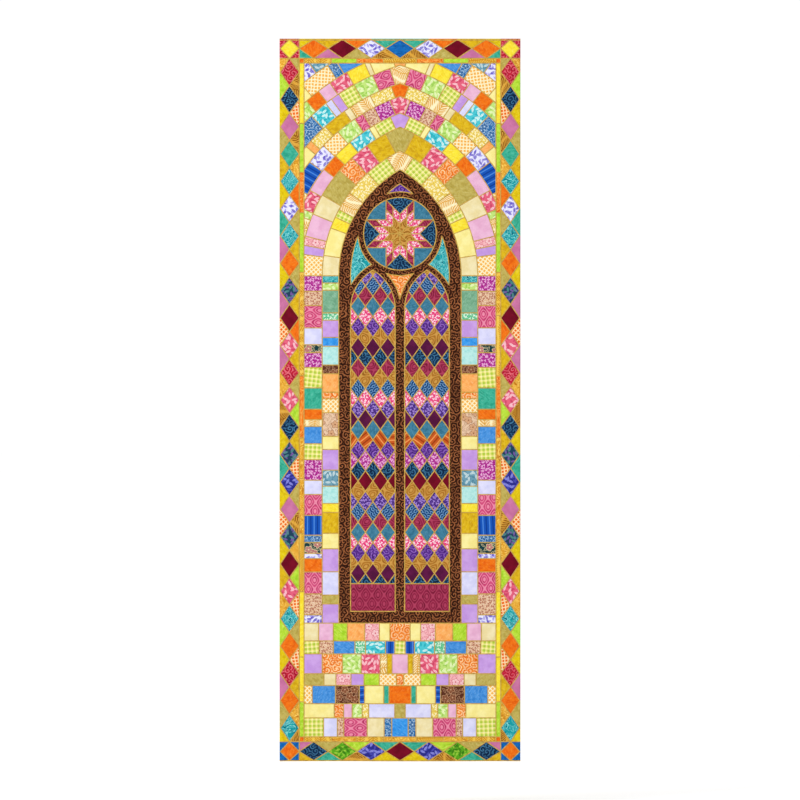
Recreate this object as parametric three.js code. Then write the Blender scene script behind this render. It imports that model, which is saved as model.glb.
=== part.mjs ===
// Church banner: one tall patchwork cloth, hemmed all round and hung by its top edge.
// Units are millimetres, +Z is up. The origin is the middle of the top edge, the cloth hangs
// down along -Z, its patchwork face looks along -Y and its hems are turned to the back, +Y.
import * as THREE from "three";
import { mergeVertices } from "three/addons/utils/BufferGeometryUtils.js";

// Driving dimensions: a banner two feet wide and six feet tall.
const BANNER_WIDTH = 610;
const BANNER_HEIGHT = 1830;

// The patchwork with its ground cloth, and the extra that the turned hem adds at the back.
const CLOTH_THICKNESS = 1.6;
const HEM_EXTRA = 1.2;
const SIDE_HEM = 20;
const END_HEM = 25;

// The raw edge of the hem falls away to the ground cloth over this width.
const HEM_FALL = 1;

// The heading hangs flat from whatever holds the banner. Below it the cloth ripples more and more.
const FLAT_HEADING = 60;

// One row for each soft ripple at the foot of the banner: where its crest is across the width,
// how far it reaches to each side, and how far it stands towards the back (or the front, if negative).
const RIPPLES = [
  { crest: -175, reach: 150, depth: 2.6 },
  { crest: 40, reach: 185, depth: -2.0 },
  { crest: 230, reach: 130, depth: 2.2 },
];

// How finely the cloth is divided between its hems.
const SPANS_ACROSS = 20;
const SPANS_DOWN = 44;

// Lines across a strip of cloth from 0 to size: both edges, both hem folds and even spans between.
function stations(size, hem, spans) {
  const inner = hem + HEM_FALL;
  const lines = [0, hem];
  for (let i = 0; i <= spans; i += 1) {
    lines.push(inner + ((size - 2 * inner) * i) / spans);
  }
  lines.push(size - hem, size);
  return lines;
}

// Rises smoothly from 0 to 1 as t goes from 0 to 1, and stays level outside.
function easeIn(t) {
  const clamped = Math.min(Math.max(t, 0), 1);
  return clamped * clamped * (3 - 2 * clamped);
}

// How far the hanging cloth stands out of its plane at a place across and down the banner.
function rippleAt(across, down) {
  const growth = easeIn((down - FLAT_HEADING) / (BANNER_HEIGHT - FLAT_HEADING));
  let out = 0;
  for (const { crest, reach, depth } of RIPPLES) {
    const away = Math.min(Math.abs(across - crest) / reach, 1);
    out += depth * Math.cos((away * Math.PI) / 2) ** 2;
  }
  return growth * out;
}

// A fine box whose grid lines are moved to the stations, then bent into the ripples. Its back is
// thicker where the hem is turned over.
function hemmedCloth() {
  const across = stations(BANNER_WIDTH, SIDE_HEM, SPANS_ACROSS);
  const down = stations(BANNER_HEIGHT, END_HEM, SPANS_DOWN);
  const lastAcross = across.length - 1;
  const lastDown = down.length - 1;
  const box = new THREE.BoxGeometry(1, 1, 1, lastAcross, 1, lastDown);
  const places = box.attributes.position;
  for (let i = 0; i < places.count; i += 1) {
    const column = Math.round((places.getX(i) + 0.5) * lastAcross);
    const row = Math.round((0.5 - places.getZ(i)) * lastDown);
    const isBack = places.getY(i) > 0;
    const isHem = column <= 1 || column >= lastAcross - 1 || row <= 1 || row >= lastDown - 1;
    const x = across[column] - BANNER_WIDTH / 2;
    const surface = (isBack ? CLOTH_THICKNESS / 2 : -CLOTH_THICKNESS / 2)
      + (isBack && isHem ? HEM_EXTRA : 0);
    places.setXYZ(i, x, surface + rippleAt(x, down[row]), -down[row]);
  }
  box.deleteAttribute("normal");
  box.deleteAttribute("uv");
  const cloth = mergeVertices(box);
  cloth.computeVertexNormals();
  return cloth;
}

const patchworkCotton = new THREE.MeshStandardMaterial({
  color: 0xcf9f52,
  roughness: 0.88,
  metalness: 0,
});

const bannerCloth = new THREE.Mesh(hemmedCloth(), patchworkCotton);
bannerCloth.name = "banner_cloth";

const banner = new THREE.Group();
banner.name = "church_banner";
banner.add(bannerCloth);

export default banner;
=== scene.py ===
"""Church banner: printed and batik cottons pieced on a ground cloth, with gold satin stitch along each seam.

The banner is laid out flat first. A flat place is (across, up) in metres from the middle of the top edge, so
up is never positive, and lift is how far a point stands in front of the ground cloth's face. hang() carries
flat places to where the cloth hangs. The front looks along -Y. Outlines run anticlockwise as seen from the
front.
"""

import functools
import math
from itertools import pairwise

import bmesh
import bpy
import numpy as np
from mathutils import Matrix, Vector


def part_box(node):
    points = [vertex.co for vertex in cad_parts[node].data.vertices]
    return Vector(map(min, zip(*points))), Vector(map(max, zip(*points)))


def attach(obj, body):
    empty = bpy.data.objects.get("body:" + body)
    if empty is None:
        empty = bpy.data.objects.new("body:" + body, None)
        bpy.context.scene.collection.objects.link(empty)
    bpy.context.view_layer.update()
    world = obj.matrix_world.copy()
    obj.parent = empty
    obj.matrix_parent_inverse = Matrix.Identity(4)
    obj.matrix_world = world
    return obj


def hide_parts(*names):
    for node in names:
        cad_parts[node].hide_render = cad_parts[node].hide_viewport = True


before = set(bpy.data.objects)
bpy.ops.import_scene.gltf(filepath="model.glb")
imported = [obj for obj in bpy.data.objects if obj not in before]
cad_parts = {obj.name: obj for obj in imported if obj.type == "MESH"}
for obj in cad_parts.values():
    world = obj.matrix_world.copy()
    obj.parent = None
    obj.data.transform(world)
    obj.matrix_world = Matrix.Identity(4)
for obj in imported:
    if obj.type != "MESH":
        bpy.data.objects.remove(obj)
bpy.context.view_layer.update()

# Driving dimensions

MM = 0.001
lowest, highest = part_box("banner_cloth")
HEIGHT = highest[2] - lowest[2]
HALF_WIDTH = (highest[0] - lowest[0]) / 2
FOOT = -HEIGHT

# The folded edge all round, which everything on the front turns over with
ROUNDING = 1.0 * MM
EDGE_FOLD = 0.5 * MM

# The hanging shape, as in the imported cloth: flat down to the heading's foot, then three soft ripples.
FLAT_HEADING = 60 * MM
RIPPLES = [  # crest across, reach to each side, depth towards the back
    (-175 * MM, 150 * MM, 2.6 * MM),
    (40 * MM, 185 * MM, -2.0 * MM),
    (230 * MM, 130 * MM, 2.2 * MM),
]

# Layers, as lifts in front of the ground cloth's face
GROUND_FACE = 0.2 * MM  # the face lies this far in front of the cloth's middle
GROUND_BACK = -1.0 * MM
HEM_BACK = -2.2 * MM
SIDE_HEM = 20 * MM
END_HEM = 25 * MM
HEM_FALL = 0.4 * MM  # over this width the hem's raw edge falls away to the ground cloth
PATCH_LIFT = 0.0
INLAY_LIFT = 0.55 * MM  # patches sewn on top of the window's batik
SEAM_LIFT = 0.05 * MM

# A patch rises from its seams: lift at a distance in from the edge, and how much it is pinched there
PUFF_INSETS = np.array([0, 1.0, 2.6, 5.0]) * MM
PUFF_LIFTS = np.array([0, 0.40, 0.64, 0.78]) * MM
PUFF_CROWN = 0.88 * MM
# The pinch also darkens the patch's colour near its seams, as painted shade.
PINCHED = np.array([1.0, 0.8, 0.35, 0.1])
UNDERSIDE = -0.06 * MM
LEAST_PUFF = 0.3  # the share of its rise that even the smallest patch has
EDGE_STEP = 21 * MM  # a patch's sides are divided at least this finely, to follow the hanging cloth

# Left out, as the seams would hide them: a patch with less area than this, or with less for each metre of
# its outline, and a corner nearer than this to the last
SCRAP_AREA = 7 * MM * MM
SCRAP_BREADTH = 0.9 * MM
CORNER_GAP = 1.4 * MM

# Gold satin stitch, half-round in section
SEAM_WIDTH = 3.1 * MM
SEAM_HEIGHT = 0.9 * MM
SATIN_ACROSS = np.array([-1, -0.64, 0, 0.64, 1])
SATIN_RISE = np.array([0, 0.74, 1, 0.74, 0])
SATIN_STEP = 24 * MM
EDGE_SEAM_INSET = 3.6 * MM  # the line along the top edge, with slivers of cloth beyond it
EDGE_SEAM_LIFT = 0.4 * MM  # it and the one along the foot are sewn over the patches, not between them

ARC_STEP = 7 * MM
TOUCHING = 0.01 * MM  # points nearer than this are one
ON_LINE = 1 * MM  # and a place this near a line counts as on it

# Layout
BORDER = 50 * MM
BAND = 12 * MM
BORDER_HALF = HALF_WIDTH - BORDER
BORDER_TOP = -BORDER
BORDER_FOOT = FOOT + BORDER
FIELD_HALF = BORDER_HALF - BAND
FIELD_TOP = BORDER_TOP - BAND
FIELD_FOOT = BORDER_FOOT + BAND
LOZENGES_DOWN = 25
LOZENGES_ACROSS = 7
TIP_INSET = 2 * MM  # of the points that would touch the folded edge, so that the stitch turns on the cloth

# Patches cut to length: shortest and longest, and the share of them that is cut narrow
BAND_PIECES = (80 * MM, 190 * MM)
BAND_END_PIECES = (60 * MM, 100 * MM)
BAND_MIDDLE = 42 * MM  # half the piece on the middle line
RING_PATCHES = (28 * MM, 56 * MM, 0.3)
LEG_PATCHES = (20 * MM, 56 * MM, 0.25)
BRICKS = (22 * MM, 50 * MM, 0.3)
NARROW = 0.4  # how much of its length a narrow one keeps
LEAST_LEG = 5 * MM  # a leg narrower than this has no patches
MIDDLE_BRICK = (20 * MM, 30 * MM)  # half its width
OTHER_MIDDLE = 0.45  # in every other course it is this much of that
KEYSTONE_TOP = 24 * MM  # half its widths
KEYSTONE_FOOT = 12 * MM

# The window: a two-centred arch, each side struck from the foot of the other
WINDOW_HALF = 155 * MM
WINDOW_APEX = -332 * MM
WINDOW_FOOT = -1480 * MM
ARCH_RADIUS = 2 * WINDOW_HALF
SPRING = WINDOW_APEX - math.sqrt(ARCH_RADIUS ** 2 - WINDOW_HALF ** 2)
FRAME_BAR = 30 * MM
MULLION = 24 * MM
TRACERY_BAR = 14 * MM

# Echo rings of patches round the window, and courses under it
RING_WIDTHS = np.array([42, 55, 33, 40, 31, 44, 36, 40, 90]) * MM
RING_PALETTES = ["glow", "warm", "warm", "mixed", "warm", "mixed", "warm", "mixed", "rich"]
LEG_PALETTES = ["cool", "mixed", "cool", "mixed", "warm", "mixed"]  # two rings by turns, for each third down
COURSE_HEIGHTS = np.array([45, 33, 50, 30, 46, 36, 48]) * MM
COURSE_PALETTES = ["warm", "mixed", "warm", "warm", "mixed", "warm", "mixed"]

rng = np.random.default_rng(15)


# Flat geometry


def arc(centre, radius, start, end):
    """Points of a circle from one angle to another, evenly apart by at most the set distance."""
    count = max(2, math.ceil(abs(end - start) * radius / ARC_STEP) + 1)
    angles = np.linspace(start, end, count)
    return np.stack([centre[0] + radius * np.cos(angles), centre[1] + radius * np.sin(angles)], axis=1)


def joined(*stretches, least=0.02 * MM):
    """One outline from several stretches of points, without those closer to the last one than the least."""
    points = np.concatenate([np.atleast_2d(s) for s in stretches])
    apart = np.linalg.norm(points - np.roll(points, 1, axis=0), axis=1) > least
    return points[apart]


def area_of(outline):
    """Half the sum of the cross products of neighbouring corners, positive if anticlockwise."""
    x, z = outline.T
    return 0.5 * np.sum(x * np.roll(z, -1) - z * np.roll(x, -1))


def anticlockwise(outline):
    """The outline, in the opposite order if its area comes out negative."""
    return outline if area_of(outline) > 0 else outline[::-1]


def mirrored(points):
    """The same points on the other side of the middle line, in the opposite order."""
    return (points * [-1, 1])[::-1]


def box_outline(left, right, foot, top):
    """The four corners, anticlockwise from the lower left."""
    return np.array([[left, foot], [right, foot], [right, top], [left, top]])


def edges_of(outline):
    """From each corner to the next, and from the last one back to the first."""
    return np.roll(outline, -1, axis=0) - outline


def left_of(edges):
    """A direction for each edge, square to it on its left, which is the inner side of an outline."""
    return np.stack([-edges[:, 1], edges[:, 0]], axis=1) / np.linalg.norm(edges, axis=1)[:, None]


def trimmed(outline, region):
    """The part of an outline inside a convex region, each side of which cuts off what lies beyond it."""
    for through, inward in zip(region, left_of(edges_of(region))):
        if len(outline) < 3:
            break
        inside = (outline - through) @ inward
        follows = np.roll(inside, -1)
        crosses = (inside > 0) != (follows > 0)
        share = inside / np.where(crosses, inside - follows, 1)
        met = outline + share[:, None] * edges_of(outline)
        both = np.stack([outline, met], axis=1).reshape(-1, 2)
        outline = both[np.stack([inside > 0, crosses], axis=1).ravel()]
    return joined(outline) if len(outline) > 2 else outline


def lines_inside(line, region):
    """The stretches of a line of points inside a convex region, as a list of lines."""
    depth = np.einsum("psk,sk->ps", line[:, None] - region[None], left_of(edges_of(region)))
    first, last = depth[:-1], depth[1:]
    change = np.where(first == last, 1, first - last)
    share = first / change
    enter = np.where((first < 0) & (last >= 0), share, 0).max(axis=1)
    leave = np.where((first >= 0) & (last < 0), share, 1).min(axis=1)
    outside = ((first < 0) & (last < 0)).any(axis=1) | (enter >= leave)
    stretches, current = [], []
    for a, b, t0, t1, out in zip(line[:-1], line[1:], enter, leave, outside):
        if out:
            continue
        if t0 > 0 or not current:
            current = [a + t0 * (b - a)]
            stretches.append(current)
        current.append(a + t1 * (b - a))
        if t1 < 1:
            current = []
    return [np.array(s) for s in stretches]


def stepped(points, longest, closed):
    """Extra points along the edges, so that none is longer than the longest."""
    ends = np.roll(points, -1, axis=0) if closed else points[1:]
    starts = points if closed else points[:-1]
    counts = np.maximum(1, np.ceil(np.linalg.norm(ends - starts, axis=1) / longest)).astype(int)
    edge = np.repeat(np.arange(len(starts)), counts)
    share = (np.arange(len(edge)) - np.repeat(np.cumsum(counts) - counts, counts)) / counts[edge]
    filled = starts[edge] + share[:, None] * (ends - starts)[edge]
    return filled if closed else np.concatenate([filled, points[-1:]])


def shares(total, least, most, narrow=0.0):
    """Places that divide a length into uneven parts, of which the share called narrow is much shorter."""
    count = max(1, round(total / ((least + most) / 2)))
    sizes = rng.uniform(least, most, count) * np.where(rng.random(count) < narrow, NARROW, 1)
    return np.concatenate([[0], np.cumsum(sizes) * total / sizes.sum()])


def circles_meet(centre_a, radius_a, centre_b, radius_b, side):
    """Where two circles cross: along the line of centres, then off to its left, or right if side is -1."""
    a, b = np.array(centre_a), np.array(centre_b)
    gap = np.linalg.norm(b - a)
    towards = (b - a) / gap
    along = (gap ** 2 + radius_a ** 2 - radius_b ** 2) / (2 * gap)
    off = math.sqrt(max(radius_a ** 2 - along ** 2, 0))
    return a + along * towards + side * off * np.array([-towards[1], towards[0]])


def bearing(centre, point):
    """The angle from straight across to the line from the centre to the point."""
    return math.atan2(point[1] - centre[1], point[0] - centre[0])


# Fabrics by print, as a quilter's stash: the ground, figure and accent colours of each

STASH = {
    "plain": dict(
        butter="F8EDA0 F3E48C F8EDA0",
        cream="F0E3B4 E8D79E F0E3B4",
        lilac="CBA3E4 BE93DA CBA3E4",
        shell="EBBAD6 E2AACA EBBAD6",
        frost="DEDDF8 CFCFF2 DEDDF8",
        mallow="CC78A4 C06C98 CC78A4",
        plum="5E1644 4E1138 5E1644",
        wine="780824 66051C 780824",
    ),
    "mottled": dict(
        ice="B7E6E1 9FDAD6 CDEFEA",
        lemon="F7E33B F0D22A FBEE72",
        canary="E0C60C CFAE08 EBD748",
        mustard="DDB61A C89C12 E9CA44",
        tangerine="EE7414 E05C0A F59238",
        peach="F8B062 F29C4C FBC68A",
        coral="EE8A5E E3744A F5A680",
        lime="B7DC3A 9DCB26 D3EA6C",
        cobalt="0F66B4 0A5298 2E82C8",
        cornflower="4B93DC 3580CC 76B0E8",
        sky="3C9BEA 2A86DA 6DB6F2",
        jade="3DAF93 289A7E 69C6AE",
        aqua="55CBD6 3AB8C6 8ADDE3",
        sage="7DB08F 6A9E7D 9AC4A8",
        khaki="C0AE5A AE9A44 D2C47C",
        steel="3F7C98 2F6984 6299B2",
    ),
    "leaf": dict(
        violet_leaf="E6E6FA 5A49BE 9A8FE0",
        indigo_leaf="2A2C86 8C8EE2 4A4CB4",
        lime_leaf="BFE07A EAF5BE 93C64E",
        fern_green="58A41E 2F7410 9CCB3E",
        rose_leaf="E2617C F8C9D0 C63F60",
        aqua_leaf="4CC6D2 D8F4F0 22A6B6",
        slate_leaf="6C9CB0 C9DDE0 4C8096",
        forest_leaf="1F3F58 4F8A86 7A5CA8",
    ),
    "frond": dict(
        gold_frond="FAF0C4 E0A548 F2CF7E",
        honey_frond="EFC44C C98A1C F8DE8A",
        bronze_frond="D9A13A 8A5312 EBC069",
    ),
    "scroll": dict(
        batik_brown="361507 A2623A 1D0A03",
        cherry_scroll="BE1E38 E6707C 9A1028",
        navy_scroll="0B2B4E 41799F 061C38",
        purple_scroll="562A88 9468C2 3E1C6A",
        amber_scroll="F08A34 FCD9A6 E06A18",
        mist_scroll="A8AEDC DAD2F2 8288C8",
    ),
    "sprig": dict(
        pink_sprig="DE3474 FCE3EA F58AAE",
        magenta_sprig="A02484 F0B4DE C850AA",
        violet_sprig="442878 A98AD8 6E4CAC",
        biscuit_sprig="DDB593 A8614A F0D8C0",
        straw_sprig="EBCF62 FCF4C6 CDA634",
        mint_sprig="6CC494 E0F6E2 3EA46E",
    ),
    "lattice": dict(
        orange_lattice="F4BE62 FDF2CC EC9436",
        flame_lattice="F0762A FBE0B0 D4540E",
        straw_lattice="ECCB6C FBF3CC CE9E38",
    ),
    "flower": dict(
        tan_flower="E4C3A4 8E5836 CE8E56",
        rose_flower="F2B6BA CC4E66 F8DADA",
        night_garden="173C40 EBDCA8 E57C86",
        denim_flower="2E6CA8 B9D6EC 164C84",
        cocoa_flower="5A3020 C89A74 8E5034",
    ),
    "plaid": dict(
        blue_plaid="BFE0F8 2E74CC F2FAFE",
        lemon_plaid="F6EA86 A8C43A FDF8D0",
    ),
    "stripe": dict(
        steel_stripe="6E88B8 A8B8D8 4C6698",
        royal_stripe="1552B4 4A86D8 0A3C92",
        ember_stripe="C4561E EE9A54 9A3A10",
    ),
    "fan": dict(
        navy_fan="123E70 7CA8D2 245C98",
    ),
    "marble": dict(
        teal_marble="169AA2 84DAD8 0A6A78",
        gold_marble="DD9E2C F9CE62 BE781A",
        orange_marble="EC7A1E FAAE56 D25E0C",
    ),
    "damask": dict(
        maroon_damask="8C2242 AA3C5A 741834",
        ochre_damask="AC7228 CB9748 95601C",
        raspberry_damask="CE4A78 E88AA6 B03260",
    ),
}
PRINT_OF = {name: print_name for print_name, cloths in STASH.items() for name in cloths}

PALETTES = {
    "glow": "butter lemon gold_frond straw_sprig cream lemon_plaid butter straw_lattice ice".split(),
    "warm": """
        lemon butter orange_lattice lime_leaf straw_sprig rose_leaf gold_frond violet_leaf shell
        lime tangerine cream lilac lemon_plaid mustard amber_scroll peach aqua_leaf khaki
        rose_flower frost butter lemon
    """.split(),
    "cool": """
        aqua violet_leaf sky lilac slate_leaf blue_plaid amber_scroll lime_leaf ice denim_flower
        mist_scroll mint_sprig butter teal_marble orange_lattice lemon sage peach coral lime
        steel_stripe cocoa_flower tan_flower
    """.split(),
    "mixed": """
        lilac lime_leaf aqua_leaf orange_lattice denim_flower lemon mint_sprig magenta_sprig frost
        violet_leaf night_garden royal_stripe gold_frond rose_leaf biscuit_sprig butter
        lemon_plaid cornflower tangerine cocoa_flower jade sky cream raspberry_damask
    """.split(),
    "rich": """
        night_garden rose_leaf violet_leaf lilac slate_leaf fern_green jade khaki magenta_sprig
        tangerine denim_flower lemon lime mustard sky
    """.split(),
    "border_strong": """
        tangerine cobalt cherry_scroll teal_marble wine indigo_leaf violet_leaf forest_leaf
        teal_marble fern_green wine navy_scroll mallow tangerine jade cherry_scroll rose_leaf
    """.split(),
    "border_light": """
        mustard khaki flame_lattice mallow canary tangerine gold_marble lime bronze_frond khaki
        jade canary
    """.split(),
    "band": "gold_marble lime orange_marble honey_frond gold_marble lime lemon".split(),
}

# The lancets' diamonds change fabric row by row, from the sill up.
DIAMOND_ROWS = """
    navy_scroll plum ochre_damask purple_scroll pink_sprig steel maroon_damask navy_fan violet_sprig
    ochre_damask wine navy_scroll magenta_sprig purple_scroll ember_stripe steel plum violet_sprig
    pink_sprig navy_fan ochre_damask maroon_damask
""".split()

APART = 110 * MM  # a fabric isn't picked again this near, where there is another choice


class Quilt:
    """The patches and seams as they are laid out."""

    def __init__(self):
        self.patches = []  # outline, fabric and lift
        self.middles = []
        self.seams = {"border": [], "field": [], "window": []}

    def pick(self, palette, place):
        """A fabric whose nearest patch is far off: any beyond the set distance, or else the farthest."""
        nearest = dict.fromkeys(PALETTES[palette], APART)
        for middle, (_, fabric, _) in zip(self.middles, self.patches):
            if fabric in nearest:
                nearest[fabric] = min(nearest[fabric], math.dist(middle, place))
        farthest = max(nearest.values())
        choices = [name for name in PALETTES[palette] if nearest[name] == farthest]
        return choices[rng.integers(len(choices))]

    def patch(self, outline, cloth, lift=PATCH_LIFT, both=False):
        """Sews a patch of a fabric or from a palette, and its mirror image if both. Scraps are left out."""
        around = np.linalg.norm(edges_of(outline), axis=1).sum()
        if len(outline) < 3 or abs(area_of(outline)) < max(SCRAP_AREA, SCRAP_BREADTH * around):
            return
        fabric = self.pick(cloth, outline.mean(axis=0)) if cloth in PALETTES else cloth
        outline = joined(outline, least=CORNER_GAP)
        for shape in (outline, mirrored(outline))[:2 if both else 1]:
            self.patches.append((anticlockwise(shape), fabric, lift))
            self.middles.append(shape.mean(axis=0))

    def seam(self, where, line, lift=SEAM_LIFT, closed=False, both=False):
        """Stitches a line of flat points, and its mirror image if both."""
        line = np.asarray(line, float)
        self.seams[where].append((line, lift, closed))
        if both:
            self.seams[where].append((mirrored(line), lift, closed))


quilt = Quilt()
FIELD = box_outline(-FIELD_HALF, FIELD_HALF, FIELD_FOOT, FIELD_TOP)


# Border: a row of lozenges between triangles, with a square on its point at each corner


def lozenge_row(start, along, inward, length, count, laid):
    """Lozenges along one side. Those laid are mirrored to the other side, but for one on the middle line."""
    start, along, inward = (np.array(v, float) for v in (start, along, inward))
    unit = length / count
    tips = [start + along * unit * k + inward * BORDER / 2 for k in range(count + 1)]
    edges = {
        edge: [start + along * unit * (k + 0.5) + inward * edge for k in range(count)]
        for edge in (0, BORDER)
    }
    for k in range(laid):
        middle = abs(tips[k][0] + tips[k + 1][0]) < ON_LINE
        diamond = np.array([tips[k], edges[0][k] + inward * TIP_INSET, tips[k + 1], edges[BORDER][k]])
        quilt.patch(diamond, "border_strong", both=not middle)
    for edge, points in edges.items():
        between = [start + inward * edge, *points, start + along * length + inward * edge]
        turn_in = inward * TIP_INSET * (edge == 0)
        for k in range(min(laid, count) + (laid == count)):
            near, far = between[k], between[k + 1]
            triangle = np.array([near, near + turn_in, tips[k], far + turn_in, far])
            quilt.patch(triangle, "border_light", both=True)
        zigzag = [tips[0]]
        for k in range(count):
            zigzag += [points[k] + turn_in, tips[k + 1]]
        quilt.seam("border", zigzag, both=laid == count)
    for end in (start, start + along * length):
        quilt.seam("border", [end, end + inward * BORDER], both=laid == count)


def corner_square(outer, across, down, strong, light):
    """A square on its point in a border corner, mirrored to the other side."""
    outer, across, down = (np.array(v, float) * s for v, s in ((outer, 1), (across, BORDER), (down, BORDER)))
    corners = [outer, outer + across, outer + across + down, outer + down]
    middles = [(corners[k] + corners[(k + 1) % 4]) / 2 for k in range(4)]
    turn_in = TIP_INSET / BORDER
    square = [middles[0] + down * turn_in, *middles[1:3], middles[3] + across * turn_in]
    quilt.patch(np.array(square), strong, both=True)
    for k in range(4):
        corner = np.array([corners[k], middles[k], square[k], square[k - 1], middles[k - 1]])
        quilt.patch(corner, light, both=True)
    quilt.seam("border", square, closed=True, both=True)


def lay_border():
    """Lozenges along the sides and ends, a square at each corner, and a line of satin along each end."""
    side_length = BORDER_TOP - BORDER_FOOT
    lozenge_row((-HALF_WIDTH, BORDER_TOP), (0, -1), (1, 0), side_length, LOZENGES_DOWN, LOZENGES_DOWN)
    half = LOZENGES_ACROSS // 2 + 1
    for edge, inward in ((0, -1), (FOOT, 1)):
        lozenge_row((-BORDER_HALF, edge), (1, 0), (0, inward), 2 * BORDER_HALF, LOZENGES_ACROSS, half)
    corner_square((-HALF_WIDTH, 0), (1, 0), (0, -1), "lemon", "cherry_scroll")
    corner_square((-HALF_WIDTH, FOOT), (1, 0), (0, 1), "tangerine", "cobalt")
    for edge in (-EDGE_SEAM_INSET, FOOT + SEAM_WIDTH / 2):
        quilt.seam("border", [[-HALF_WIDTH, edge], [HALF_WIDTH, edge]], lift=EDGE_SEAM_LIFT)


# Narrow band between the border and the field


def lay_band():
    """Strips of uneven length between two seams, all round the field, with a square at each corner."""
    outer = box_outline(-BORDER_HALF, BORDER_HALF, BORDER_FOOT, BORDER_TOP)
    for ring in (outer, FIELD):
        quilt.seam("border", ring, closed=True)
    drops = FIELD_TOP - shares(FIELD_TOP - FIELD_FOOT, *BAND_PIECES)
    for top, foot in pairwise(drops):
        quilt.patch(box_outline(-BORDER_HALF, -FIELD_HALF, foot, top), "band", both=True)
    for place in drops:
        quilt.seam("border", [[-BORDER_HALF, place], [-FIELD_HALF, place]], both=True)
    for low in (FIELD_TOP, BORDER_FOOT):
        quilt.patch(box_outline(-BORDER_HALF, -FIELD_HALF, low, low + BAND), "tangerine", both=True)
        quilt.patch(box_outline(-BAND_MIDDLE, BAND_MIDDLE, low, low + BAND), "band")
        quilt.seam("border", [[BAND_MIDDLE, low], [BAND_MIDDLE, low + BAND]], both=True)
        steps = BAND_MIDDLE + shares(FIELD_HALF - BAND_MIDDLE, *BAND_END_PIECES)
        for near, far in pairwise(steps):
            quilt.patch(box_outline(near, far, low, low + BAND), "band", both=True)
            quilt.seam("border", [[far, low], [far, low + BAND]], both=True)


# Echo rings: courses of patches that follow the arch outwards and run down beside the window

ARCH_CENTRE = np.array([-WINDOW_HALF, SPRING])  # of the right-hand side


def apex_angle(radius):
    """The angle at which an arch of this radius meets the middle line."""
    return math.acos(WINDOW_HALF / radius)


def lay_ring(ring, inner, outer):
    """The patches between two arch lines, on the right and mirrored, with a keystone on the middle line."""
    across = FIELD_HALF + WINDOW_HALF
    rise = FIELD_TOP - SPRING
    start = math.acos(min(1, across / inner))
    keyed = inner * math.sin(apex_angle(inner)) < rise
    keyed_end = min(apex_angle(outer) - KEYSTONE_TOP / outer, apex_angle(inner) - KEYSTONE_FOOT / inner)
    end = keyed_end if keyed else math.asin(min(1, rise / inner))
    if end <= start:
        return
    shortest, longest, narrow = RING_PATCHES
    angles = start + shares(end - start, shortest / inner, longest / inner, narrow)
    for low, high in pairwise(angles):
        shape = joined(arc(ARCH_CENTRE, outer, low, high), arc(ARCH_CENTRE, inner, high, low))
        quilt.patch(trimmed(shape, FIELD), RING_PALETTES[ring], both=True)
    for angle in angles[1:]:
        spoke = np.concatenate([arc(ARCH_CENTRE, r, angle, angle)[:1] for r in (inner, outer)])
        for stretch in lines_inside(spoke, FIELD):
            quilt.seam("field", stretch, both=True)
    if keyed:
        outer_side = arc(ARCH_CENTRE, outer, end, apex_angle(outer))
        inner_side = arc(ARCH_CENTRE, inner, apex_angle(inner), end)
        keystone = joined(outer_side, mirrored(outer_side), mirrored(inner_side), inner_side)
        quilt.patch(trimmed(keystone, FIELD), RING_PALETTES[ring])


def lay_leg(ring, inner, outer):
    """The patches of a ring beside the window, from the springing down to its foot."""
    left, right = inner - WINDOW_HALF, min(outer - WINDOW_HALF, FIELD_HALF)
    if right - left < LEAST_LEG:
        return
    drops = SPRING - shares(SPRING - WINDOW_FOOT, *LEG_PATCHES)
    for k, (top, foot) in enumerate(pairwise(drops)):
        third = min(int(k / (len(drops) / 3)), 2)
        quilt.patch(box_outline(left, right, foot, top), LEG_PALETTES[third * 2 + ring % 2], both=True)
    for place in drops[:-1]:
        quilt.seam("field", [[left, place], [right, place]], both=True)


def lay_rings():
    """Rings outwards from the window, each of its own width, with a seam on the arch line between two."""
    radii = ARCH_RADIUS + np.concatenate([[0], np.cumsum(RING_WIDTHS)])
    for ring, (inner, outer) in enumerate(pairwise(radii)):
        lay_ring(ring, inner, outer)
        lay_leg(ring, inner, outer)
        if ring == 0:
            continue
        line = arc(ARCH_CENTRE, inner, 0, apex_angle(inner))
        if inner - WINDOW_HALF < FIELD_HALF - ON_LINE:
            line = joined([[inner - WINDOW_HALF, WINDOW_FOOT]], line)
        whole = joined(line, mirrored(line))
        for stretch in lines_inside(whole, FIELD):
            quilt.seam("field", stretch)


def lay_courses():
    """Rows of bricks under the window, each with one on the middle line, wide and narrow by turns."""
    tops = WINDOW_FOOT - np.concatenate([[0], np.cumsum(COURSE_HEIGHTS)])
    tops[-1] = FIELD_FOOT
    for row, ((top, foot), palette) in enumerate(zip(pairwise(tops), COURSE_PALETTES)):
        middle = rng.uniform(*MIDDLE_BRICK) * (OTHER_MIDDLE if row % 2 else 1)
        quilt.patch(box_outline(-middle, middle, foot, top), palette)
        steps = middle + shares(FIELD_HALF - middle, *BRICKS)
        for near, far in pairwise(steps):
            quilt.patch(box_outline(near, far, foot, top), palette, both=True)
        for place in steps[:-1]:
            quilt.seam("field", [[place, foot], [place, top]], both=True)
        if row == 0:
            quilt.seam("field", [[WINDOW_HALF, top], [FIELD_HALF, top]], both=True)
        else:
            quilt.seam("field", [[-FIELD_HALF, top], [FIELD_HALF, top]])


# Window: batik frame and tracery, with inlaid lancets, a star rose and small eyes

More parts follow.
